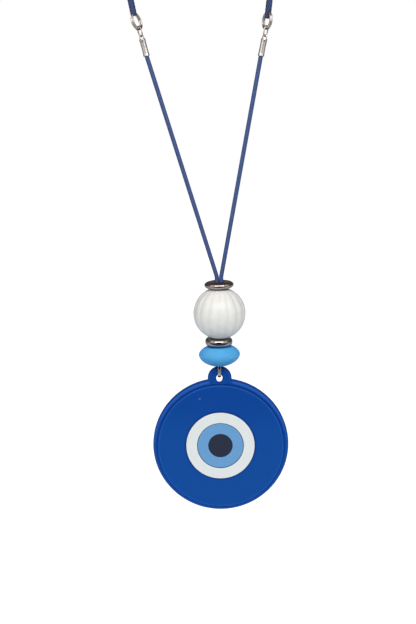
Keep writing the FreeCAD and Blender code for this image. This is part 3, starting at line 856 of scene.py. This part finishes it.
def build_pendant_ring():
    """A ring of flat wire, split in two prongs at the front where it leaves the blue bead, with painted
    black shade in the slit and where it goes into the hole.
    """
    low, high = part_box("pendant_ring")
    width = (high.y - low.y) / MM - 2 * PENDANT_RING_WIRE_R
    height = (high.z - low.z) / MM - 2 * PENDANT_RING_WIRE_R
    half_depth, half_width, fillet = FLAT_WIRE
    signs = ((-1, -1), (1, -1), (1, 1), (-1, 1))
    corners = [(half_depth * x, half_width * y, fillet) for x, y in signs]
    section = divided(rounded(corners, steps=4), step=0.045)
    rings, _ = sweep(oval_wire_path(width, height, RING_GAP, RING_GAP_PLACE), section, bevel=0.01)
    middles = rings.mean(axis=1, keepdims=True)
    on_front = ease((middles[..., 0] - 0.6) / 0.4)
    on_top = ease((middles[..., 2] - 0.02) / 0.2)
    outer_face = ease((-section[:, 0] - 0.30) / 0.1)
    near_middle = ease((SLIT_HALF_WIDTH - np.abs(section[:, 1])) / SLIT_EDGE)
    slit = on_front * on_top * outer_face * near_middle
    inward = (middles - rings) * (1, 0, 1)
    rings = rings + inward * slit[..., None] * SLIT_DEPTH
    # Painted black shade in the slit and where the strip goes into the hole.
    hole_shade = ease((-RING_IN_HOLE - middles[..., 2]) / 0.5) * on_front
    rings = placed(rings, -90.0, Z_AXIS, centre("pendant_ring"))
    make_piece("pendant_ring_wire", rings, False, "hanging_ring", ["pendant_ring"],
               NICKEL, tone=np.minimum(1.6 * slit + 0.85 * hole_shade, 1.0))


# ---------- beads
def build_rondelle(node, body, half_height, power, tilt):
    """A flat metal ring of a bead, oval in section and highest at its crown."""
    low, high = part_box(node)
    outer = (high.y - low.y) / MM / 2
    outline = oval(1.0, half_height, power, 72)
    reach = np.where(outline[:, 0] > 0, outer - RONDELLE_CROWN_R, RONDELLE_CROWN_R - RONDELLE_HOLE_R)
    outline[:, 0] = RONDELLE_CROWN_R + outline[:, 0] * reach
    rings = placed(lathe(outline, BEAD_SEGMENTS), 0.0, leaning(tilt), centre(node))
    make_piece(node.replace("_metal", "_plated"), rings, True, body, [node], GUNMETAL)


def build_melon():
    """A fluted ball: round lobes between soft valleys, which fade out before the hole."""
    latitude = np.linspace(-1.0, 1.0, 121) * math.asin(MELON_HALF_HEIGHT / MELON_R)
    outside = np.stack((MELON_R * np.cos(latitude), MELON_R * np.sin(latitude)), axis=1)
    lip = np.array((
        (MELON_LIP_R, MELON_HALF_HEIGHT), (MELON_HOLE_R + 0.1, MELON_HALF_HEIGHT - 0.1),
        (MELON_HOLE_R, MELON_HALF_HEIGHT - 0.4),
    ))
    outline = divided(np.concatenate((outside, lip, lip[::-1] * (1, -1))), step=0.3)
    steps = MELON_LOBES * 24

    def valley(angle):
        off = (angle * MELON_LOBES / (2 * np.pi) + 0.5) % 1 - 0.5
        return hump(off, MELON_VALLEY_WIDTH)

    def flutes(radius, height, angle):
        return -MELON_VALLEY_DEPTH * valley(angle) * ease((radius - MELON_FLUTE_START_R) / 3.0)

    rings = lathe(outline, steps, flutes)
    radius = np.linalg.norm(rings[..., :2], axis=2)
    # Painted shade along the valleys, fading out before the hole.
    tone = valley(np.arange(steps) * 2 * np.pi / steps) * ease((radius - MELON_FLUTE_START_R) / 2.5)
    rings = placed(rings, MELON_TURN, Z_AXIS, centre("melon_bead"))
    make_piece("fluted_bead", rings, True, "melon", ["melon_bead"], MELON_WHITE, tone=tone)


def build_blue_bead():
    """An abacus bead: a pointed oval with its ends cut flat, turned about its stepped bore."""
    angle = np.linspace(-0.5, 0.5, 129) * math.pi
    across = np.cos(angle) ** (2 / BLUE_POWER)
    height = np.sign(angle) * np.abs(np.sin(angle)) ** (2 / BLUE_POWER)
    height *= np.where(angle > 0, BLUE_OVAL_ABOVE, BLUE_OVAL_BELOW)
    outside = np.stack((BLUE_R * across, height), axis=1)
    outside = outside[(height > -BLUE_CUT_BELOW) & (height < BLUE_CUT_ABOVE)]
    outline = divided(np.concatenate((outside, np.array(BLUE_BORE))), step=0.3)
    place = centre("blue_bead")
    place[2] = joint_place("blue_bead_spin")[2]
    rings = placed(lathe(outline, BEAD_SEGMENTS), 0.0, leaning(BEAD_TILT), place)
    make_piece("sky_blue_bead", rings, True, "blue", ["blue_bead"], SKY_BLUE, sharp=50.0)


# ---------- pendant
def build_disc():
    """The moulded disc, as one skin: back, edge, rim bead, groove, face and the eye's pocket.

    The outline is radius and how far forward. level is the radius before the groove's circle is
    lowered, which makes the rim bead wide above and narrow below.
    """
    low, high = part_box("pendant_body")
    middle_x = (low.x + high.x) / MM / 2
    middle_z = low.z / MM + DISC_R
    eye = centre("pupil_inlay")
    pocket_r = WHITE_R + POCKET_GAP
    corners = (
        (DISC_AXIS_R, -POCKET_FLOOR_Y, 0.0), (pocket_r, -POCKET_FLOOR_Y, 0.05), (pocket_r, -FACE_Y, 0.16),
        (GROOVE_INNER_R, -FACE_Y, 0.2), *((radius, -GROOVE_FLOOR_Y, 0.1) for radius in GROOVE_FLOOR_R),
        *((radius, -y, 0.4) for radius, y in RIM_SHOULDERS), (DISC_R, -EDGE_START_Y, 0.5),
        (DISC_R, -DISC_HALF_THICKNESS, 0.9), (DISC_AXIS_R, -DISC_HALF_THICKNESS, 0.0),
    )
    outline = divided(rounded(corners, steps=6), step=0.6)
    angle = np.arange(DISC_SEGMENTS) * 2 * np.pi / DISC_SEGMENTS
    from_tab = apart(angle, np.pi / 2) * DISC_R
    near_tab = 1 - ease((from_tab - 3.7) / 1.2)
    under_hole = 1 - ease((from_tab - 1.4) / 1.2)
    level = outline[:, :1] + np.zeros(DISC_SEGMENTS)
    front = outline[:, 1:] + np.zeros(DISC_SEGMENTS)
    off_centre = np.interp(level, (19.0, 22.0, 22.5, DISC_R), (0.0, 1.0, 1.0, 0.0)) * (front > 0)
    radius = level - GROOVE_DROP * np.sin(angle) * off_centre
    radius = np.minimum(radius, DISC_R - (DISC_R - RIM_UNDER_HOLE_R) * under_hole)
    room_for_tab = DISC_HALF_THICKNESS + 0.1 - 0.4 * near_tab - 0.18 * under_hole
    lowered = (near_tab > 0) & (level > 22.6)
    front = np.where(lowered, np.minimum(front, room_for_tab), front)
    rings = np.stack((radius * np.cos(angle), radius * np.sin(angle), -front), axis=2)
    fades_from, fades_over = EYE_SHIFT_FADES
    by_eye = (1 - ease((radius - fades_from) / fades_over)) * (front > 0)
    rings[..., 0] += (eye[0] - middle_x) * by_eye
    rings[..., 1] += (eye[2] - middle_z) * by_eye
    # Painted light and shade: a highlight along the rim's crown, strongest at the top; a light line on
    # the groove's lip; shade in the groove, deepest at the top; shade on the outer edge; a dark line
    # round the white ring; and the face painted darker towards its top.
    upper = ease(0.5 + 0.7 * np.sin(angle))
    raised = front > 0.5
    groove = hump(level - GROOVE_R, np.where(level > GROOVE_R, 0.45, 0.2)) * raised * (0.25 + 0.7 * upper)
    groove_lip_highlight = hump(level - GROOVE_LIP_R, 0.16) * raised
    crown = hump(level - RIM_CROWN_R, 0.32) * raised * (1 - near_tab) * (0.1 + 0.6 * upper ** 2)
    edge = ease((level - EDGE_SHADE_R) / 0.35)
    eye_outline_shade = hump(radius - WHITE_R - 0.05, 0.16) * raised
    upper_face_shade = ease((radius * np.sin(angle) - 2.0) / 16.0) * (level < 22.0)
    tone = crown + 0.45 * groove_lip_highlight - groove - 0.6 * edge - 0.9 * eye_outline_shade - 0.3 * upper_face_shade
    rings = facing_front(rings, (middle_x, 0.0, middle_z))
    make_piece("moulded_disc", rings, True, "pendant", ["pendant_body"], ROYAL_BLUE, tone=tone)


def build_tab():
    """The ear above the disc: a flat plate with soft edges, round a drop-shaped hole.

    Each layer is a ring round the hole: from its mouth over the front, and back over the back.
    """
    low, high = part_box("pendant_body")
    disc = np.array(((low.x + high.x) / MM / 2, low.z / MM + DISC_R))
    ear = np.array((TAB_X, high.z / MM - TAB_R))
    hole = np.array((0.0, ear[1] + HOLE_ABOVE_TAB))
    angle = np.arange(TAB_SEGMENTS) * 2 * np.pi / TAB_SEGMENTS
    ray = np.stack((np.cos(angle), np.sin(angle)), axis=1)
    along = ray @ (ear - hole)
    ear_reach = along + np.sqrt(along ** 2 + TAB_R ** 2 - (ear - hole) @ (ear - hole))
    disc_side = ray @ unit(disc - hole)
    to_groove = np.linalg.norm(disc - hole) - TAB_FOOT_R
    outer = np.minimum(ear_reach, to_groove / np.maximum(disc_side, 0.05))
    hole_height = np.where(ray[:, 1] > 0, HOLE_R, HOLE_STRETCH_DOWN * HOLE_R)
    inner = 1 / np.sqrt((ray[:, 0] / HOLE_HALF_WIDTH) ** 2 + (ray[:, 1] / hole_height) ** 2)
    back = -TAB_HALF_THICKNESS
    front = TAB_HALF_THICKNESS + TAB_RAISED
    land = outer - inner
    mouth = np.minimum(0.42, 0.45 * land)
    edge = np.minimum(0.5, 0.45 * land)
    flat = land - mouth - edge
    arc_steps = [(1 - np.cos(step), 1 - np.sin(step)) for step in np.linspace(0.0, math.pi / 2, 6)]
    shares = (0.2, 0.4, 0.6, 0.8)
    layers = [(inner + mouth * out, front - mouth * down) for out, down in arc_steps]
    layers += [(inner + mouth + flat * share, front) for share in shares]
    layers += [(outer - edge * out, front - edge * down) for down, out in arc_steps]
    layers += [(outer - edge * out, back + edge * down) for out, down in arc_steps]
    layers += [(inner + mouth + flat * share, back) for share in reversed(shares)]
    layers += [(inner + mouth * out, back + mouth * down) for down, out in arc_steps]
    radius = np.array([layer[0] + np.zeros(TAB_SEGMENTS) for layer in layers])
    depth = np.array([layer[1] + np.zeros(TAB_SEGMENTS) for layer in layers])
    rings = np.stack((hole[0] + radius * ray[:, 0], -depth, hole[1] + radius * ray[:, 1]), axis=2)
    on_front = depth > 0
    free_edge = disc_side < 0.2
    # Painted light and shade: highlight lines inside the free edge and on the hole's lower mouth, shade
    # on the free side, in the hole's wall and at the foot, and the whole tab painted a little darker.
    rim_line_highlight = hump(outer - radius - 0.55, 0.13) * on_front * free_edge
    lip = hump(radius - inner - mouth, 0.12) * on_front * (ray[:, 1] < -0.3)
    side = ease((radius - outer + 0.32) / 0.25) * free_edge
    hole_wall_shade = ease((inner + 0.30 - radius) / 0.15)
    foot_edge_shade = ease((radius - outer + 0.15) / 0.15) * (1 - free_edge)
    tone = 0.45 * (rim_line_highlight + lip) - 0.7 * side - 0.95 * hole_wall_shade - 0.8 * foot_edge_shade - 0.25
    make_piece("moulded_tab", rings, True, "pendant", ["pendant_body"], ROYAL_BLUE, tone=tone)


def build_fill(name, node, outer, inner, front_y, material):
    """One coloured fill of the eye: a ring or a disc with softly rounded edges in front, with painted
    shade along its edges and painted highlight lines just inside them.
    """
    is_ring = inner > 0
    place = centre(node)
    place[1] = 0.0
    back = -POCKET_FLOOR_Y - 0.05
    front = -front_y
    outside = outer - POCKET_GAP
    inside = inner + POCKET_GAP if is_ring else DISC_AXIS_R
    corners = (
        (inside, back, 0.0), (outside, back, 0.0), (outside, front, FILL_FILLET),
        (inside, front, FILL_FILLET if is_ring else 0.0),
    )
    outline = divided(rounded(corners, steps=6), step=0.4)
    rings = lathe(outline, FILL_SEGMENTS)
    rings[..., 2] *= -1
    radius = outline[:, :1]
    on_front = outline[:, 1:] > front - 0.2
    # Painted shade along the edges and painted highlight lines just inside them.
    dark = ease((radius - outer + 0.20) / 0.14)
    light = 0.5 * hump(outer - 0.38 - radius, 0.12) * on_front
    if is_ring:
        dark = dark + ease((inner + 0.18 - radius) / 0.14)
        light = light + 0.5 * hump(radius - inner - 0.38, 0.12) * on_front
    rings = facing_front(rings, place)
    make_piece(name, rings, True, "pendant", [node], material, tone=light - dark)


build_neck_cord()
strands_x = centre("cord_core")[0]
strands_low, strands_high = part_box("cord_core")
strand_half_gap = (strands_high.x - strands_low.x) / MM / 2 - THIN_CORD_R
build_leg("left", strands_x - strand_half_gap)
build_leg("right", strands_x + strand_half_gap)
build_cord_loop()
for side_name in ("left", "right"):
    build_split_ring(side_name)
    build_jump_ring(side_name)
    build_tube(side_name)
    build_tube_eye(side_name)
build_pendant_ring()
build_rondelle("upper_metal_rondelle", "upper_rondelle", half_height=1.3, power=2.1, tilt=BEAD_TILT)
build_rondelle("lower_metal_rondelle", "lower_rondelle", half_height=1.5, power=2.6, tilt=0.0)
build_melon()
build_blue_bead()
build_disc()
build_tab()
build_fill("white_ring_fill", "white_ring_inlay", WHITE_R, LIGHT_BLUE_R, WHITE_Y, WHITE)
build_fill("light_blue_fill", "light_blue_ring_inlay", LIGHT_BLUE_R, PUPIL_R, LIGHT_BLUE_Y,
           LIGHT_BLUE)
build_fill("pupil_fill", "pupil_inlay", PUPIL_R, 0.0, PUPIL_Y, INK)


# ---------- floor, light and camera
LIGHT_TARGET = Vector((0.0, 0.0, -270.0))
CAMERA_PLACE = Vector((-4.0, -365.0, -201.0))
CAMERA_TARGET = Vector((-4.0, 0.0, -268.0))


def build_floor():
    """A wide floor below the hanging ornament: pale behind it, dark in front and white to the camera.
    Behind the ornament it also glows bluish, which throws painted fill light up onto it.
    """
    half = 2000.0
    floor_z = -420.0
    cells = 8
    lines = np.linspace(-half, half, cells + 1)
    x, y = np.meshgrid(lines, lines)
    points = np.stack((x, y, np.full_like(x, floor_z)), axis=-1).reshape(-1, 3) * MM
    faces = []
    for row in range(cells):
        for column in range(cells):
            corner = row * (cells + 1) + column
            faces.append((corner, corner + 1, corner + cells + 2, corner + cells + 1))
    mesh = bpy.data.meshes.new("studio_floor")
    mesh.from_pydata(points.tolist(), [], faces)
    floor = bpy.data.objects.new("studio_floor", mesh)
    bpy.context.scene.collection.objects.link(floor)
    shader = Shader("studio_white", 0.9)
    seen = shader.node("ShaderNodeLightPath").outputs["Is Camera Ray"]
    place = shader.node("ShaderNodeSeparateXYZ")
    shader.plug(place.inputs[0], shader.places())
    behind = shader.between(place.outputs[1], -0.22, -0.09)
    shader.put("Base Color", shader.mix(behind, (0.05, 0.05, 0.05), (0.55, 0.55, 0.55)))
    # Painted fill light: the floor glows bluish behind the ornament and lights it from below.
    glow = shader.math("MULTIPLY", behind, 0.52)
    shader.put("Emission Color", shader.mix(seen, (0.72, 0.88, 1.0), (1.0, 1.0, 1.0)))
    shader.put("Emission Strength", shader.math("MAXIMUM", glow, shader.math("MULTIPLY", seen, 0.95)))
    mesh.materials.append(shader.material)


def soft_light(name, place, size, power):
    """A rectangular light that looks at the beads and isn't seen by the camera."""
    light = bpy.data.lights.new(name, "AREA")
    light.shape = "RECTANGLE"
    light.size, light.size_y = (part * MM for part in size)
    light.energy = power
    lamp = bpy.data.objects.new(name, light)
    bpy.context.scene.collection.objects.link(lamp)
    lamp.location = Vector(place) * MM
    lamp.rotation_euler = (LIGHT_TARGET - Vector(place)).to_track_quat("-Z", "Y").to_euler()
    lamp.visible_camera = False


def build_world():
    """White to the camera. To the ornament: pale in front, dimmer behind, brown above, and dark
    round the camera."""
    world = bpy.data.worlds.new("studio")
    bpy.context.scene.world = world
    world.use_nodes = True
    sky = Nodes(world.node_tree)
    direction = sky.node("ShaderNodeTexCoord").outputs["Generated"]

    def towards(axis, low, high):
        """0 to 1 as the cosine of the angle to axis goes from low to high."""
        product = sky.node("ShaderNodeVectorMath", operation="DOT_PRODUCT")
        sky.plug(product.inputs[0], direction)
        sky.plug(product.inputs[1], Vector(axis).normalized())
        return sky.between(product.outputs["Value"], low, high)

    pale, dim = (0.30, 0.29, 0.29), (0.17, 0.15, 0.15)
    brown, dark = (0.20, 0.11, 0.075), (0.035, 0.025, 0.025)
    room = sky.mix(towards((0, 1, 0), -0.2, 0.3), pale, dim)
    room = sky.mix(towards((0, 0.1, 1), 0.55, 0.85), room, brown)
    room = sky.mix(towards((0, -1, 0.15), 0.80, 0.92), room, dark)
    seen = sky.node("ShaderNodeLightPath").outputs["Is Camera Ray"]
    sky.plug(sky.tree.nodes["Background"].inputs["Color"], sky.mix(seen, room, (1.0, 1.0, 1.0)))


def build_camera():
    """A short way off and a little above the beads, looking down at them."""
    camera = bpy.data.objects.new("camera", bpy.data.cameras.new("camera"))
    bpy.context.scene.collection.objects.link(camera)
    camera.location = CAMERA_PLACE * MM
    camera.rotation_euler = (CAMERA_TARGET * MM - camera.location).to_track_quat("-Z", "Y").to_euler()
    camera.data.sensor_width = 36.0
    camera.data.lens = 61.6
    camera.data.clip_start = 0.01
    camera.data.clip_end = 20.0
    bpy.context.scene.camera = camera


build_floor()
build_world()
soft_light("key_above", (30.0, -740.0, 350.0), size=(1200.0, 290.0), power=8.1)
soft_light("left_panel", (-330.0, -300.0, -40.0), size=(560.0, 560.0), power=0.80)
soft_light("right_panel", (330.0, -300.0, -40.0), size=(560.0, 560.0), power=0.68)
build_camera()
bpy.context.scene.view_settings.view_transform = "Standard"
bpy.context.scene.view_settings.look = "None"
